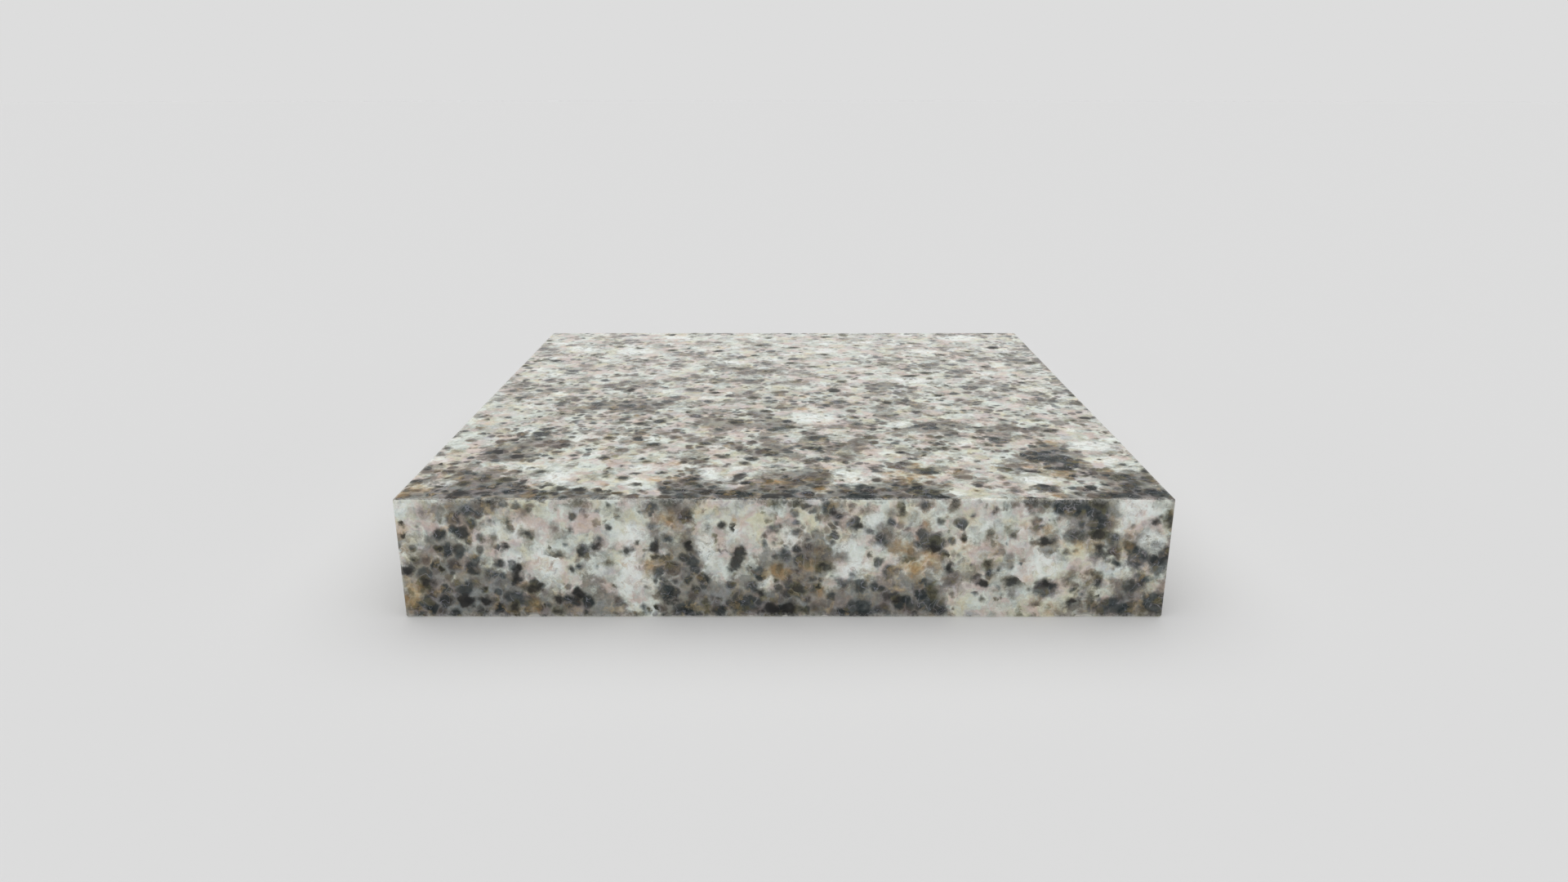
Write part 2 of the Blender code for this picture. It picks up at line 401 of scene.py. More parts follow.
        (223.2, 31.4, 2.8, 2.1, 0), (209.0, 42.0, 1.7, 2.8, 0), (255.7, 37.5, 1.9, 1.7, 0),
        (288.0, 33.7, 1.5, 2.2, 0), (259.4, 4.1, 2.2, 2.1, 0), (268.6, 30.4, 2.4, 1.8, 0),
        (162.0, 126.0, 4.0, 3.0, 0), (274.0, 72.0, 4.0, 3.0, 0),
    ),
    "cloudDepth": 12.0,       # how far into the stone the clouds reach
    "grainDepth": 3.0,        # and the single grains
    "chipPale": 0.0002,       # metres bitten off at which a chip is fully pale
    "frostReach": 0.0010,     # metres over which the frosting fades away from an arris
    "frostFull": 1.6,         # how strongly it starts, before it is held to 1
    "sawnSkin": 0.0002,       # metres up from the underside that count as sawn
    "farthest": 3.0,          # millimetres outside a grain past which the distance isn't kept
}


def sheetPlaces(points):
    # Along, climb and depth of each point. Back + up is the climb on the front. Past the top arris it is
    # more than the slab's thickness, which is taken off, and what is left is the way back over the top.
    along, back, up = ((points - slabLow) * toMillimetres).T
    thickness = (slabTop - slabBase) * toMillimetres
    climb = back + up
    climb = np.where(climb > thickness, climb - thickness, climb)
    depth = np.minimum(back, thickness - up)
    return along, climb, depth


def cloudField(sheet, clouds, cloudDepth):
    # sum of strength x exp(-distance squared), the distance counted in half sizes
    along, climb, depth = sheet
    total = np.zeros_like(along)
    for cloudAlong, cloudClimb, halfAlong, halfClimb, strength in clouds:
        apart = ((along - cloudAlong) / halfAlong) ** 2 + ((climb - cloudClimb) / halfClimb) ** 2
        total += strength * np.exp(-apart - (depth / cloudDepth) ** 2)
    return total


def grainField(sheet, grains, grainDepth, farthest):
    # millimetres inside the nearest grain's rim, below 0 outside: (1 - distance in half sizes) x the
    # smaller half size, the grain being an ellipsoid turned by its lean
    along, climb, depth = sheet
    best = np.full_like(along, -farthest)
    for grainAlong, grainClimb, halfAlong, halfClimb, lean in grains:
        turn = math.radians(lean)
        across = (along - grainAlong) * math.cos(turn) + (climb - grainClimb) * math.sin(turn)
        upward = (climb - grainClimb) * math.cos(turn) - (along - grainAlong) * math.sin(turn)
        apart = np.sqrt((across / halfAlong) ** 2 + (upward / halfClimb) ** 2 + (depth / grainDepth) ** 2)
        best = np.maximum(best, (1 - apart) * min(halfAlong, halfClimb))
    return best


def slabFields(points, settings):
    # values carried by the skin's points: how rounded the arris is there, whether the face is the
    # sawn one, how much quartz and rust the stone holds there, and how near the single grains are
    fromSide = (slabHalf[:2] - np.abs(points[:, :2] - slabMiddle[:2])).min(1)
    fromTop = slabTop - points[:, 2]
    fromBase = points[:, 2] - slabBase
    nearTop = np.hypot(np.clip(fromSide, 0, None), np.clip(fromTop, 0, None))
    nearBase = np.hypot(np.clip(fromSide, 0, None), np.clip(fromBase, 0, None))
    nearest = np.minimum(nearTop, nearBase)
    sheet = sheetPlaces(points)
    fields = {
        "arris": np.clip(settings["frostFull"] - nearest / settings["frostReach"], 0, 1),
        "sawn": (fromBase < settings["sawnSkin"]).astype(float),
        "quartzZone": cloudField(sheet, settings["quartzClouds"], settings["cloudDepth"]),
        "rustZone": cloudField(sheet, settings["rustClouds"], settings["cloudDepth"]),
    }
    for name in ("darkGrains", "brownGrains", "blackFlakes", "whiteCrystals", "ochreSpots"):
        fields[name] = grainField(sheet, settings[name], settings["grainDepth"], settings["farthest"])
    return fields


def buildBlock(settings, minerals):
    # the carved skin as a mesh, with its map and the values that the stone's pattern reads
    points, faces, chart = carveBlock(settings)
    fields = slabFields(points, minerals)
    points, bitten = chipAway(points, settings)
    fields["chipped"] = np.clip(bitten / minerals["chipPale"], 0, 1)
    mesh = bpy.data.meshes.new("graniteBlock")
    mesh.from_pydata(points.tolist(), [], faces)
    mesh.update()
    sizes = np.array([len(face) for face in faces])
    loopPoints = np.concatenate([np.array(face) for face in faces])
    places = layOutCharts(points[loopPoints] - slabMiddle * (1, 1, 0), np.repeat(chart, sizes))
    bakeMap = mesh.uv_layers.new(name="OFBake")
    bakeMap.data.foreach_set("uv", places.astype(np.float32).ravel())
    for name, values in fields.items():
        attribute = mesh.attributes.new(name, "FLOAT", "POINT")
        attribute.data.foreach_set("value", values.astype(np.float32))
    mesh.shade_smooth()
    block = bpy.data.objects.new("graniteBlock", mesh)
    bpy.context.scene.collection.objects.link(block)
    return block


block = buildBlock(blockSettings, mineralSettings)
print("block carved:", len(block.data.vertices), "points,", len(block.data.polygons), "faces")

# Display colours of each mineral as it looks in soft light, 0 to 255
granitePalette = {
    "feldsparWhite": (193, 199, 193),
    "feldsparGrey": (138, 139, 132),
    "feldsparCream": (190, 186, 160),
    "feldsparPink": (183, 166, 162),
    "feldsparLilac": (160, 159, 167),
    "crystalWhite": (209, 216, 210),
    "smoke": (105, 101, 95),
    "quartzSmoky": (82, 82, 85),
    "quartzTaupe": (89, 82, 78),
    "quartzSlate": (69, 73, 74),
    "quartzDark": (49, 53, 54),
    "quartzPale": (120, 114, 108),
    "vein": (142, 141, 150),
    "mica": (26, 36, 39),
    "olive": (102, 98, 74),
    "rust": (150, 112, 74),
    "ochre": (184, 162, 120),
    "stoneDust": (186, 186, 180),
    "gain": 0.71,               # how much of a colour the soft light gives back from an upright side
    "sheen": 0.028,             # what the polish adds on top
    "darkest": 0.003,           # limits of the stone's own colour
    "palest": 0.9,
}

# How the minerals lie in the stone. Sizes and pushes are in millimetres. A noise is its size, detail and
# roughness, a fade is where a layer starts and where it is full, and a cover is how much of what lies
# under it the layer hides. A shift moves a layer to a fresh stretch of its pattern.
graniteLayers = {
    "shiftWay": (1.0, 0.7, -1.0),           # the way that every shift goes
    "wobble": (6.0, 3.0, 0.55),             # bends the grains
    "fuzz": (1.8, 2.0, 0.6),                # frays their rims
    "pushes": ((4.0, 0.9), (4.0, 2.6), (9.0, 3.0)),     # by both, for quartz, for mica, for feldspar
    "body": {"shift": 0, "noise": (8.0, 4.0, 0.60), "fade": (0.30, 0.63)},
    "tints": {
        "feldsparCream": {"shift": 40, "noise": (12.0, 4.0, 0.6), "fade": (0.46, 0.70), "cover": 0.75},
        "feldsparPink": {"shift": 90, "noise": (9.0, 4.0, 0.6), "fade": (0.44, 0.64), "cover": 0.74},
        "feldsparLilac": {"shift": 190, "noise": (8.0, 4.0, 0.6), "fade": (0.52, 0.72), "cover": 0.45},
    },
    "crystals": {"shift": 61, "size": 11.0, "chosen": (0.55, 0.75), "fade": (0.55, 0.20), "cover": 0.85},
    "frost": {"shift": 210, "noise": (3.0, 4.0, 0.65), "fade": (0.30, 0.60)},       # inside the crystals
    # where quartz gathers: the placed clouds, noise the size of a cluster and a broader noise
    "zone": {"strength": 0.28, "fade": (0.10, 0.30)},
    "drift": {"shift": 12, "noise": (12.0, 2.0, 0.5), "strength": 0.85},
    "sweep": {"shift": 12, "noise": (34.0, 1.0, 0.5), "strength": 0.45},
    "smoke": {"shift": 33, "noise": (5.0, 4.0, 0.65), "strength": 0.60, "fade": (0.92, 1.10),
              "cover": 0.72, "thickCover": 0.75},
    # base is where every grain's reach starts, and packed stone and its own chance add to that
    "quartz": {
        "coarse": {"shift": 0, "size": 7.0, "cover": 0.92, "base": -0.22},
        "fine": {"shift": 55, "size": 4.4, "cover": 0.82, "base": -0.26},
    },
    "quartzReach": {"packed": (0.51, 0.82), "packedReach": 0.60, "chance": 0.46, "most": 0.45,
                    "softRim": 0.17, "seam": (0.0, 0.09), "seamCover": 0.64},
    "quartzTones": {"taupe": (0.15, 0.60), "slate": (0.56, 0.70), "pale": (0.66, 0.90), "paleCover": 0.8,
                    "thickDark": 0.40},
    # the placed grains: how far noise moves their rims, and how soft each kind's rim is
    "rims": {"shift": 71, "noise": (3.0, 2.0, 0.5), "push": 4.4},
    "whiteCrystals": {"rim": 2.2, "cover": 0.90},
    "brownGrains": {"rim": 1.3, "cover": 0.75},
    "darkGrains": {"rim": 1.2, "cover": 0.84},
    "blackFlakes": {"rim": 1.1, "cover": 0.92},
    "ochreSpots": {"rim": 2.8, "cover": 0.34},
    "ochreHearts": {"rim": 1.8, "cover": 0.30, "fade": (0.3, 0.9)},
    "grainTone": {"shift": 71, "noise": (3.0, 3.0, 0.6), "fade": (0.36, 0.64)},
    "veins": {"shift": 5, "noise": (4.4, 1.0, 0.5), "push": 7.0, "fade": (0.030, 0.0), "cover": 0.50},
    "veinBreaks": {"shift": 8, "noise": (7.0, 2.0, 0.5), "fade": (0.40, 0.58)},
    "rustStrength": 0.11,
    "stain": {"shift": 140, "noise": (7.0, 4.0, 0.6), "fade": (0.54, 0.76), "cover": 0.38},
    "drops": {"shift": 77, "noise": (3.4, 3.0, 0.6), "fade": (0.64, 0.84), "cover": 0.32},
    # rarity is the share of cells that stay empty, and gathered is how much less that is among quartz
    "specks": {"shift": 88, "size": 3.8, "gather": (0.50, 0.70), "rarity": 0.92, "gathered": -0.24,
               "chosen": (0.0, 0.06), "bigger": 0.30, "fade": (0.38, 0.06), "cover": 0.62},
    "micaFlakes": (
        {"shift": 31, "stretch": (1.0, 1.0, 0.6), "size": 7.0, "rarity": 0.88, "reach": 0.14},
        {"shift": 47, "stretch": (0.6, 0.8, 1.0), "size": 6.4, "rarity": 0.90, "reach": 0.14},
        {"shift": 17, "stretch": None, "size": 3.4, "rarity": 0.94, "reach": 0.18},
    ),
    "micaRim": {"chosen": 0.04, "chance": 0.20, "halo": (-0.32, 0.0), "haloCover": 0.50,
                "fade": (-0.18, 0.14), "cover": 0.88},
    # blended in soft light over everything, from a layer's first tone to its second
    "mottle": {"shift": 0, "noise": (1.0, 3.0, 0.7), "fade": (0.26, 0.74),
               "tones": ((0.30, 0.30, 0.30, 1.0), (0.70, 0.70, 0.70, 1.0)), "cover": 0.40},
    "warmth": {"shift": 25, "noise": (3.6, 3.0, 0.6), "fade": (0.34, 0.66),
               "tones": ((0.46, 0.515, 0.55, 1.0), (0.55, 0.50, 0.43, 1.0)), "cover": 0.60},
    "marble": {"shift": 150, "noise": (2.6, 3.0, 0.6), "fade": (0.30, 0.70),
               "tones": ((0.30, 0.30, 0.31, 1.0), (0.70, 0.70, 0.69, 1.0)), "cover": 0.55},
}

graniteFinish = {
    "quartz": 0.16,             # roughness of each mineral as polished
    "feldspar": 0.21,
    "mica": 0.22,               # added over mica
    "mottle": 0.04,             # added by the fine mottling
    "dull": 0.75,               # added where the stone isn't polished
    "arrisDust": 0.30,          # how much dust the frosted arris shows,
    "chipDust": 0.60,           # the chips,
    "sawnDust": 0.50,           # and the sawn underside, where it comes and goes with the saw's arcs
    "sawnSwing": 0.06,
    "index": 1.40,              # how strongly the polish reflects
    "relief": 0.00004,          # metres of relief
    "micaPits": -0.55,          # shares of that relief
    "mottleRise": 0.18,
    "sawRise": 1.6,
    "dustRise": 1.2,
    "dustNoise": (0.5, 2.0, 0.5),
    "sawCentre": (640.0, 180.0, 0.0),   # millimetres to the middle of the saw's arcs
    "sawPitch": 4.2,            # millimetres from one saw mark to the next
}


def pigment(name):
    # the stone's own colour: (display colour made linear - sheen) / gain
    display = np.array(granitePalette[name]) / 255.0
    linear = np.where(display > 0.04045, ((display + 0.055) / 1.055) ** 2.4, display / 12.92)
    own = (linear - granitePalette["sheen"]) / granitePalette["gain"]
    return (*np.clip(own, granitePalette["darkest"], granitePalette["palest"]), 1.0)


class StoneNodes:
    # The material's nodes under short names, and the places that its patterns are read at: the stone's
    # own millimetres, and the same stirred by noise for quartz, mica and feldspar.

    def __init__(self, tree):
        self.tree = tree
        place = self.add("ShaderNodeTexCoord", {}).outputs["Object"]
        self.stone = self.vectors("MULTIPLY", place, (toMillimetres,) * 3)
        self.wobble = self.cloud(self.stone, graniteLayers["wobble"], "colour")
        fuzz = self.cloud(self.stone, graniteLayers["fuzz"], "colour")
        self.ragged, self.jagged, self.soft = (
            self.stir(self.stir(self.stone, self.wobble, bend), fuzz, fray)
            for bend, fray in graniteLayers["pushes"]
        )

    def add(self, kind, inputs, **settings):
        # one node with its settings, each input linked or given its value
        node = self.tree.nodes.new(kind)
        for name, value in settings.items():
            setattr(node, name, value)
        for key, value in inputs.items():
            if isinstance(value, bpy.types.NodeSocket):
                self.tree.links.new(value, node.inputs[key])
            else:
                node.inputs[key].default_value = value
        return node

    def maths(self, operation, *values, clamp=False):
        # MULTIPLY_ADD is first x second + third
        inputs = dict(enumerate(values))
        return self.add("ShaderNodeMath", inputs, operation=operation, use_clamp=clamp).outputs[0]

    def times(self, *values):
        # the product of all the values
        total = values[0]
        for value in values[1:]:
            total = self.maths("MULTIPLY", total, value)
        return total

    def vectors(self, operation, first, second):
        return self.add("ShaderNodeVectorMath", {0: first, 1: second}, operation=operation).outputs[0]

    def fade(self, value, span):
        # rises smoothly from 0 at the span's start to 1 at its end
        inputs = {"Value": value, "From Min": span[0], "From Max": span[1]}
        return self.add("ShaderNodeMapRange", inputs, interpolation_type="SMOOTHSTEP").outputs[0]

    def cloud(self, where, noise, kind="grey"):
        # noise whose blotches are about size millimetres across
        size, detail, roughness = noise
        inputs = {"Vector": where, "Scale": 1.0 / size, "Detail": detail, "Roughness": roughness}
        return self.add("ShaderNodeTexNoise", inputs).outputs[1 if kind == "colour" else 0]

    def drift(self, where, layer):
        # a layer's noise at its own shift
        return self.cloud(self.shift(where, layer["shift"]), layer["noise"])

    def veil(self, where, layer):
        # a layer's noise, faded
        return self.fade(self.drift(where, layer), layer["fade"])

    def crystals(self, where, size):
        # crystals about size millimetres apart: distance from the middle, three chances, the middle
        outputs = self.add("ShaderNodeTexVoronoi", {"Vector": where, "Scale": 1.0 / size}).outputs
        chances = self.add("ShaderNodeSeparateColor", {0: outputs["Color"]}).outputs
        return outputs["Distance"], chances, outputs["Position"]

    def seams(self, where, size):
        # distance from the seams between the same crystals
        inputs = {"Vector": where, "Scale": 1.0 / size}
        return self.add("ShaderNodeTexVoronoi", inputs, feature="DISTANCE_TO_EDGE").outputs["Distance"]

    def mix(self, cover, under, over, kind="MIX"):
        # one colour laid over another: under x (1 - cover) + over x cover
        inputs = {0: cover, 6: under, 7: over}
        return self.add("ShaderNodeMix", inputs, data_type="RGBA", blend_type=kind).outputs[2]

    def field(self, name):
        # a value carried by the skin's points
        return self.add("ShaderNodeAttribute", {}, attribute_name=name).outputs["Fac"]

    def shift(self, where, amount):
        # moves a place by amount along the shift way
        move = tuple(amount * way for way in graniteLayers["shiftWay"])
        return self.vectors("ADD", where, move) if amount else where

    def stir(self, where, noise, size):
        # pushes a place by (noise colour - its middle value) x size, up to about half of size
        push = self.vectors("SUBTRACT", noise, (0.5, 0.5, 0.5))
        return self.vectors("ADD", where, self.vectors("MULTIPLY", push, (size,) * 3))


def layFeldspar(nodes):
    # The pale cloudy body: grey to white by noise, tinted in patches, with the whitest crystals over it
    # in the cells whose chance is high.
    body = nodes.veil(nodes.soft, graniteLayers["body"])
    colour = nodes.mix(body, pigment("feldsparGrey"), pigment("feldsparWhite"))
    for name, layer in graniteLayers["tints"].items():
        tint = nodes.times(nodes.veil(nodes.soft, layer), layer["cover"])
        colour = nodes.mix(tint, colour, pigment(name))
    layer = graniteLayers["crystals"]
    distance, chance, _ = nodes.crystals(nodes.shift(nodes.soft, layer["shift"]), layer["size"])
    white = nodes.times(nodes.fade(chance[0], layer["chosen"]), nodes.fade(distance, layer["fade"]))
    frost = nodes.veil(nodes.soft, graniteLayers["frost"])
    return nodes.mix(nodes.times(white, frost, layer["cover"]), colour, pigment("crystalWhite")), frost


def quartzShare(nodes, zone, where):
    # how much quartz the stone holds at a place: drift x strength + zone + sweep x strength
    drift, sweep = graniteLayers["drift"], graniteLayers["sweep"]
    near = nodes.maths("MULTIPLY_ADD", nodes.drift(where, drift), drift["strength"], zone)
    return nodes.maths("ADD", nodes.times(nodes.drift(where, sweep), sweep["strength"]), near)


def layQuartz(nodes, under, where, zone, thick, grain):
    # Glassy rounded grains. Each spreads from its middle to packed x packedReach + luck, where luck is
    # chance squared x a share + base, and is a little clearer along the seams with its neighbours.
    limits, tones = graniteLayers["quartzReach"], graniteLayers["quartzTones"]
    place = nodes.shift(where, grain["shift"])
    distance, chance, centre = nodes.crystals(place, grain["size"])
    seam = nodes.seams(place, grain["size"])
    packed = nodes.fade(quartzShare(nodes, zone, centre), limits["packed"])
    luck = nodes.maths("ADD", nodes.times(chance[0], chance[0], limits["chance"]), grain["base"])
    reach = nodes.maths("MULTIPLY_ADD", packed, limits["packedReach"], luck)
    reach = nodes.maths("MINIMUM", reach, limits["most"])
    rim = (-limits["softRim"], limits["softRim"])
    inside = nodes.fade(nodes.maths("SUBTRACT", reach, distance), rim)
    seamCover = limits["seamCover"]
    joined = nodes.maths("MULTIPLY_ADD", nodes.fade(seam, limits["seam"]), 1.0 - seamCover, seamCover)
    covered = nodes.times(inside, joined, grain["cover"])
    tone = nodes.mix(nodes.fade(chance[1], tones["taupe"]), pigment("quartzDark"), pigment("quartzTaupe"))
    tone = nodes.mix(nodes.fade(chance[2], tones["slate"]), tone, pigment("quartzSlate"))
    pale = nodes.times(nodes.fade(chance[1], tones["pale"]), tones["paleCover"])
    tone = nodes.mix(pale, tone, pigment("quartzPale"))
    tone = nodes.mix(nodes.times(thick, tones["thickDark"]), tone, pigment("quartzDark"))
    return nodes.mix(covered, under, tone), covered


def layMica(nodes, under, flake):
    # Black flakes in the few cells whose chance passes the rarity, out to reach - distance from the
    # middle, with a little olive bled round them.
    rim = graniteLayers["micaRim"]
    where = nodes.shift(nodes.jagged, flake["shift"])
    if flake["stretch"]:
        where = nodes.vectors("MULTIPLY", where, flake["stretch"])
    distance, chance, _ = nodes.crystals(where, flake["size"])
    reach = nodes.maths("MULTIPLY_ADD", chance[1], rim["chance"], flake["reach"])
    edge = nodes.maths("SUBTRACT", reach, distance)
    present = nodes.fade(chance[0], (flake["rarity"], flake["rarity"] + rim["chosen"]))
    halo = nodes.times(present, nodes.fade(edge, rim["halo"]), rim["haloCover"])
    cover = nodes.times(present, nodes.fade(edge, rim["fade"]), rim["cover"])
    stained = nodes.mix(halo, under, pigment("olive"))
    return nodes.mix(cover, stained, pigment("mica")), cover


def graniteMaterial():
    material = bpy.data.materials.new("polishedGranite")
    material.use_nodes = True
    tree = material.node_tree
    shader = tree.nodes["Principled BSDF"]
    nodes = StoneNodes(tree)
    mix, times, maths, fade = nodes.mix, nodes.times, nodes.maths, nodes.fade
    layers = graniteLayers
    colour, frost = layFeldspar(nodes)

    # smoky stone where the quartz gathers, then two sizes of quartz grain over it
    zone = times(nodes.field("quartzZone"), layers["zone"]["strength"])
    thick = fade(zone, layers["zone"]["fade"])
    crowd = quartzShare(nodes, zone, nodes.soft)
    layer = layers["smoke"]
    haze = maths("MULTIPLY_ADD", nodes.drift(nodes.soft, layer), layer["strength"], crowd)
    smokeTone = mix(times(thick, layer["thickCover"]), pigment("smoke"), pigment("quartzSmoky"))
    colour = mix(times(fade(haze, layer["fade"]), layer["cover"]), colour, smokeTone)
    grains = layers["quartz"]
    colour, coarse = layQuartz(nodes, colour, nodes.ragged, zone, thick, grains["coarse"])
    colour, fine = layQuartz(nodes, colour, nodes.ragged, zone, thick, grains["fine"])
    glass = maths("MAXIMUM", coarse, fine)

    # the placed grains, their rims roughened by noise
    push = layers["rims"]["push"]
    rough = maths("MULTIPLY_ADD", nodes.drift(nodes.stone, layers["rims"]), push, -push / 2)

    def placed(name, layer):
        rim = layer["rim"]
        return fade(maths("ADD", nodes.field(name), rough), (-rim, rim))

    layer = layers["whiteCrystals"]
    white = times(placed("whiteCrystals", layer), frost, layer["cover"])
    colour = mix(white, colour, pigment("crystalWhite"))
    toneNoise = nodes.veil(nodes.stone, layers["grainTone"])
    darkTone = mix(toneNoise, pigment("quartzDark"), pigment("quartzSlate"))
    brownTone = mix(toneNoise, pigment("quartzTaupe"), pigment("smoke"))
    brown = times(placed("brownGrains", layers["brownGrains"]), layers["brownGrains"]["cover"])
    colour = mix(brown, colour, brownTone)
    dark = placed("darkGrains", layers["darkGrains"])
    colour = mix(times(dark, layers["darkGrains"]["cover"]), colour, darkTone)
    glass = maths("MAXIMUM", glass, dark)

    # hairline veins between the grains, where noise crosses its middle value
    layer = layers["veins"]
    veinPlace = nodes.stir(nodes.stone, nodes.wobble, layer["push"])
    hair = maths("ABSOLUTE", maths("SUBTRACT", nodes.drift(veinPlace, layer), 0.5))
    broken = nodes.veil(nodes.stone, layers["veinBreaks"])
    colour = mix(times(fade(hair, layer["fade"]), broken, glass, layer["cover"]), colour, pigment("vein"))

    # rust and ochre bled into the stone
    rusty = times(nodes.field("rustZone"), layers["rustStrength"])
    for name, where, layer in (
        ("ochre", nodes.soft, layers["stain"]),
        ("rust", nodes.ragged, layers["drops"]),
    ):
        bled = fade(maths("ADD", nodes.drift(where, layer), rusty), layer["fade"])
        colour = mix(times(bled, layer["cover"]), colour, pigment(name))
    spots = times(placed("ochreSpots", layers["ochreSpots"]), layers["ochreSpots"]["cover"])
    colour = mix(spots, colour, pigment("ochre"))
    layer = layers["ochreHearts"]
    hearts = times(placed("ochreSpots", layer), fade(toneNoise, layer["fade"]), layer["cover"])
    colour = mix(hearts, colour, pigment("rust"))

    # small dusky specks, mostly where the quartz gathers
    layer = layers["specks"]
    distance, chance, _ = nodes.crystals(nodes.shift(nodes.jagged, layer["shift"]), layer["size"])
    rarity = maths("MULTIPLY_ADD", fade(crowd, layer["gather"]), layer["gathered"], layer["rarity"])
    spread = maths("SUBTRACT", distance, times(chance[1], layer["bigger"]))
    present = fade(maths("SUBTRACT", chance[0], rarity), layer["chosen"])
    speck = times(present, fade(spread, layer["fade"]), layer["cover"])
    colour = mix(speck, colour, mix(chance[2], pigment("quartzTaupe"), pigment("olive")))

    # mica: the scattered flakes, then the placed ones
    black = []
    for flake in layers["micaFlakes"]:
        colour, cover = layMica(nodes, colour, flake)
        black.append(cover)
    black.append(placed("blackFlakes", layers["blackFlakes"]))
    colour = mix(times(black[-1], layers["blackFlakes"]["cover"]), colour, pigment("mica"))

    # fine mottling, warmer and cooler patches and marbling over everything
    mottle = nodes.veil(nodes.stone, layers["mottle"])
    for layer, noise in (
        (layers["mottle"], mottle),
        (layers["warmth"], nodes.veil(nodes.soft, layers["warmth"])),
        (layers["marble"], nodes.veil(nodes.ragged, layers["marble"])),
    ):
        colour = mix(layer["cover"], colour, mix(noise, *layer["tones"]), "SOFT_LIGHT")

    # the eased arrises are frosted, chips and the sawn underside are dull and pale with stone dust
    finish = graniteFinish
    arris = times(nodes.field("arris"), fade(mottle, (0.0, 1.0)))
    chipped = nodes.field("chipped")
    sawn = nodes.field("sawn")
    sawPlace = nodes.vectors("ADD", nodes.stone, finish["sawCentre"])
    sawReach = nodes.add("ShaderNodeVectorMath", {0: sawPlace}, operation="LENGTH").outputs["Value"]
    sawWave = maths("SINE", times(sawReach, 2 * math.pi / finish["sawPitch"]))
    sawDust = times(sawn, maths("MULTIPLY_ADD", sawWave, finish["sawnSwing"], finish["sawnDust"]))
    chipDust = times(chipped, finish["chipDust"])
    dull = maths("MAXIMUM", times(arris, finish["arrisDust"]), maths("MAXIMUM", chipDust, sawDust))
    colour = mix(dull, colour, pigment("stoneDust"))
    tree.links.new(colour, shader.inputs["Base Color"])

    # quartz takes the brightest polish, feldspar a little less, and mica stays dull
    anyBlack = maths("MAXIMUM", maths("MAXIMUM", *black[:2]), maths("MAXIMUM", *black[2:]))
    clearer = finish["quartz"] - finish["feldspar"]
    roughness = maths("MULTIPLY_ADD", glass, clearer, finish["feldspar"])
    roughness = maths("MULTIPLY_ADD", anyBlack, finish["mica"], roughness)
    roughness = maths("MULTIPLY_ADD", mottle, finish["mottle"], roughness)
    roughness = maths("MULTIPLY_ADD", dull, finish["dull"], roughness, clamp=True)
    tree.links.new(roughness, shader.inputs["Roughness"])

    # faint relief: mica plucked out in pits, fine mottling, and the saw's arcs underneath
    height = maths("MULTIPLY_ADD", anyBlack, finish["micaPits"], times(mottle, finish["mottleRise"]))
    height = maths("ADD", height, times(sawWave, sawn, finish["sawRise"]))
    dust = times(nodes.cloud(nodes.stone, finish["dustNoise"]), dull, finish["dustRise"])
    height = maths("ADD", height, dust)
    inputs = {"Height": height, "Distance": finish["relief"], "Strength": 1.0}
    tree.links.new(nodes.add("ShaderNodeBump", inputs).outputs[0], shader.inputs["Normal"])
    shader.inputs["IOR"].default_value = finish["index"]
    return material


block.data.materials.append(graniteMaterial())
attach(block, "root")
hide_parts("granite_slab")
print("stone coloured")

studioSettings = {
    "floorRadius": 40.0,            # metres
    "floorRings": 12,
    "floorSpokes": 96,
    "floorDrop": 0.00015,           # the slab stands this little above the floor
    "floorColour": (0.668, 0.668, 0.668, 1.0),
    "seeThrough": 0.0012,           # rays this short leave the floor out, so the underside gets light
    "backdrop": 0.723,              # how bright the room looks
    "lowBand": 0.92,                # how much light comes from low down
    "shade": 0.02,                  # from above that
    "softBox": 1.54,                # and from overhead
    "shadeRise": (13.0, 18.0),      # degrees above the floor where the low band turns to shade
    "softBoxRise": (33.0, 41.0),    # and where the shade turns to the soft box
    "lampStrength": 0.10,
    "lampSoftness": 50.0,           # degrees across
    "lampTurn": (38.0, -30.0, 0.0), # degrees it leans towards the front and the left
}


def layFloor(settings):
    # a flat disc: rings whose radius grows by the square of the ring's number
    around = np.linspace(0.0, 2 * np.pi, settings["floorSpokes"] + 1)[:-1]
    rings = settings["floorRadius"] * np.linspace(0.0, 1.0, settings["floorRings"] + 1)[1:] ** 2
    level = slabBase - settings["floorDrop"]
    circle = np.stack([np.cos(around), np.sin(around)], -1)
    disc = (rings[:, None, None] * circle).reshape(-1, 2)
    points = np.vstack([[0, 0, level], np.column_stack([disc, np.full(len(disc), level)])])
    index = 1 + np.arange(len(disc)).reshape(len(rings), -1)
    after = np.roll(index, -1, axis=1)
    quads = np.stack([index[:-1], index[1:], after[1:], after[:-1]], -1).reshape(-1, 4).tolist()
    middle = [[0, a, b] for a, b in zip(index[0].tolist(), after[0].tolist())]
    mesh = bpy.data.meshes.new("floor")
    mesh.from_pydata(points.tolist(), [], middle + quads)
    mesh.materials.append(floorMaterial(settings))
    floor = bpy.data.objects.new("floor", mesh)
    bpy.context.scene.collection.objects.link(floor)


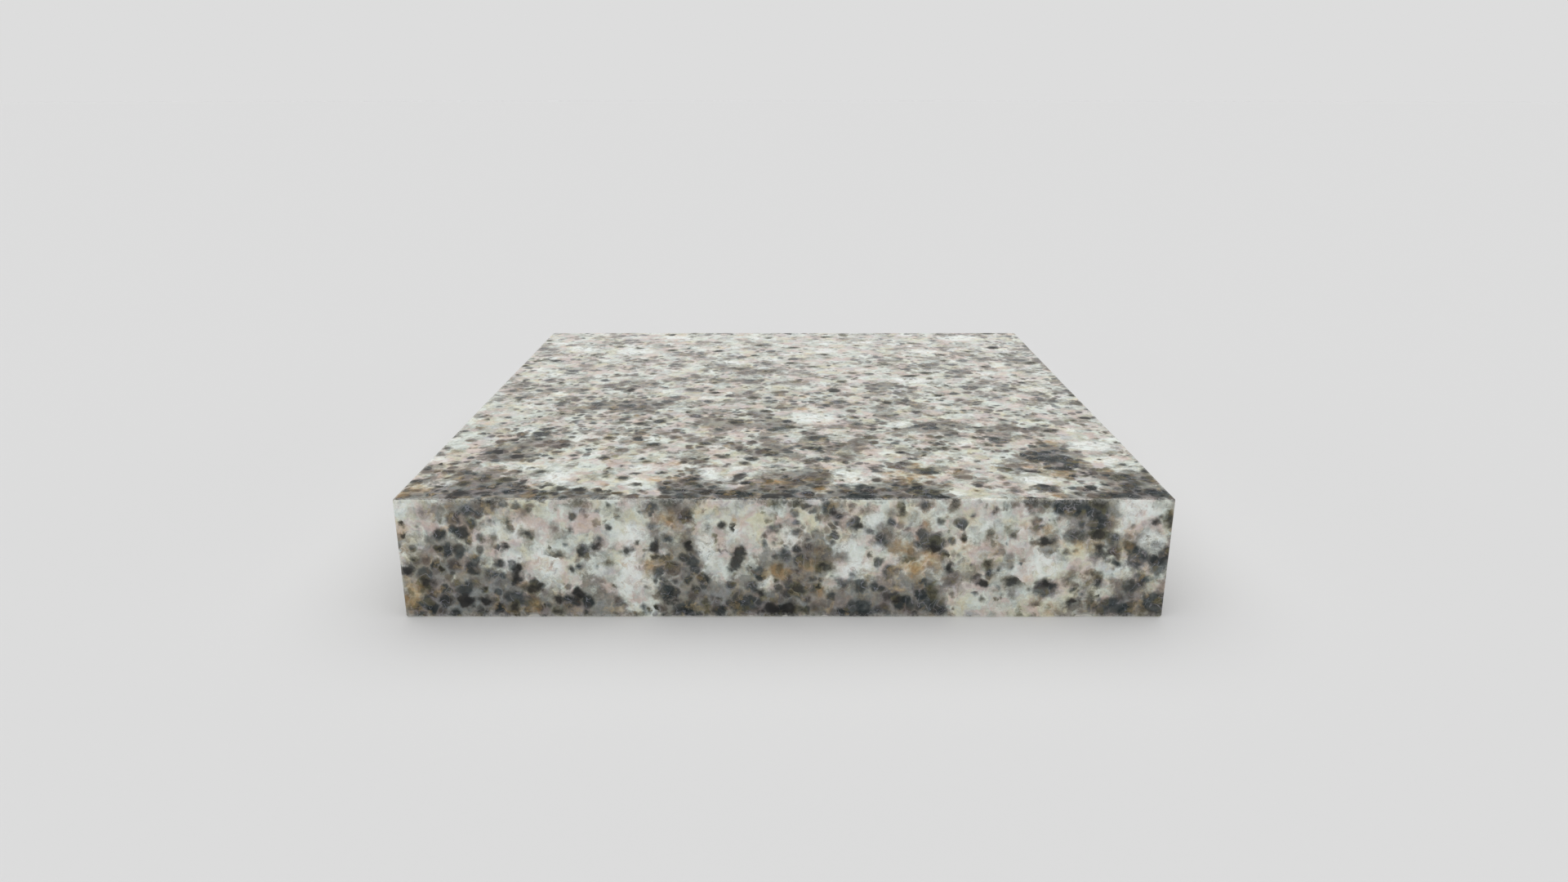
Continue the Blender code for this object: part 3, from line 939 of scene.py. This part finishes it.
def floorMaterial(settings):
    # plain dull white, clear from below so the slab's underside can be looked at
    material = bpy.data.materials.new("paleFloor")
    material.use_nodes = True
    tree = material.node_tree
    tree.nodes.remove(tree.nodes["Principled BSDF"])
    paper = tree.nodes.new("ShaderNodeBsdfDiffuse")
    paper.inputs["Color"].default_value = settings["floorColour"]
    clear = tree.nodes.new("ShaderNodeBsdfTransparent")
    facing = tree.nodes.new("ShaderNodeNewGeometry")
    rays = tree.nodes.new("ShaderNodeLightPath")
    brief = tree.nodes.new("ShaderNodeMath")
    brief.operation = "LESS_THAN"
    brief.inputs[1].default_value = settings["seeThrough"]
    either = tree.nodes.new("ShaderNodeMath")
    either.operation = "MAXIMUM"
    choose = tree.nodes.new("ShaderNodeMixShader")
    tree.links.new(rays.outputs["Ray Length"], brief.inputs[0])
    tree.links.new(facing.outputs["Backfacing"], either.inputs[0])
    tree.links.new(brief.outputs[0], either.inputs[1])
    tree.links.new(either.outputs[0], choose.inputs[0])
    tree.links.new(paper.outputs[0], choose.inputs[1])
    tree.links.new(clear.outputs[0], choose.inputs[2])
    tree.links.new(choose.outputs[0], tree.nodes["Material Output"].inputs["Surface"])
    return material


def hangLights(settings):
    # the light by height: a low band all round, shade above it, and a soft box overhead
    world = bpy.data.worlds.new("studio")
    bpy.context.scene.world = world
    world.use_nodes = True
    tree = world.node_tree
    background = tree.nodes["Background"]
    background.inputs["Color"].default_value = (1.0, 1.0, 1.0, 1.0)
    direction = tree.nodes.new("ShaderNodeTexCoord")
    parts = tree.nodes.new("ShaderNodeSeparateXYZ")
    tree.links.new(direction.outputs["Generated"], parts.inputs[0])
    steps = []
    for rise, low, high in (
        (settings["shadeRise"], settings["lowBand"], settings["shade"]),
        (settings["softBoxRise"], 0.0, settings["softBox"] - settings["shade"]),
    ):
        step = tree.nodes.new("ShaderNodeMapRange")
        step.interpolation_type = "SMOOTHSTEP"
        tree.links.new(parts.outputs["Z"], step.inputs["Value"])
        step.inputs["From Min"].default_value = math.sin(math.radians(rise[0]))
        step.inputs["From Max"].default_value = math.sin(math.radians(rise[1]))
        step.inputs["To Min"].default_value = low
        step.inputs["To Max"].default_value = high
        steps.append(step)
    total = tree.nodes.new("ShaderNodeMath")
    tree.links.new(steps[0].outputs[0], total.inputs[0])
    tree.links.new(steps[1].outputs[0], total.inputs[1])
    rays = tree.nodes.new("ShaderNodeLightPath")
    plain = tree.nodes.new("ShaderNodeMix")                  # looked at straight, the room is plain
    tree.links.new(rays.outputs["Is Camera Ray"], plain.inputs[0])
    tree.links.new(total.outputs[0], plain.inputs[2])
    plain.inputs[3].default_value = settings["backdrop"]
    tree.links.new(plain.outputs[0], background.inputs["Strength"])

    lampData = bpy.data.lights.new("softLamp", "SUN")
    lampData.energy = settings["lampStrength"]
    lampData.angle = math.radians(settings["lampSoftness"])
    lamp = bpy.data.objects.new("softLamp", lampData)
    lamp.rotation_euler = [math.radians(angle) for angle in settings["lampTurn"]]
    bpy.context.scene.collection.objects.link(lamp)
    bpy.context.scene.view_settings.view_transform = "Standard"


layFloor(studioSettings)
hangLights(studioSettings)
print("studio lit")

bpy.context.view_layer.update()
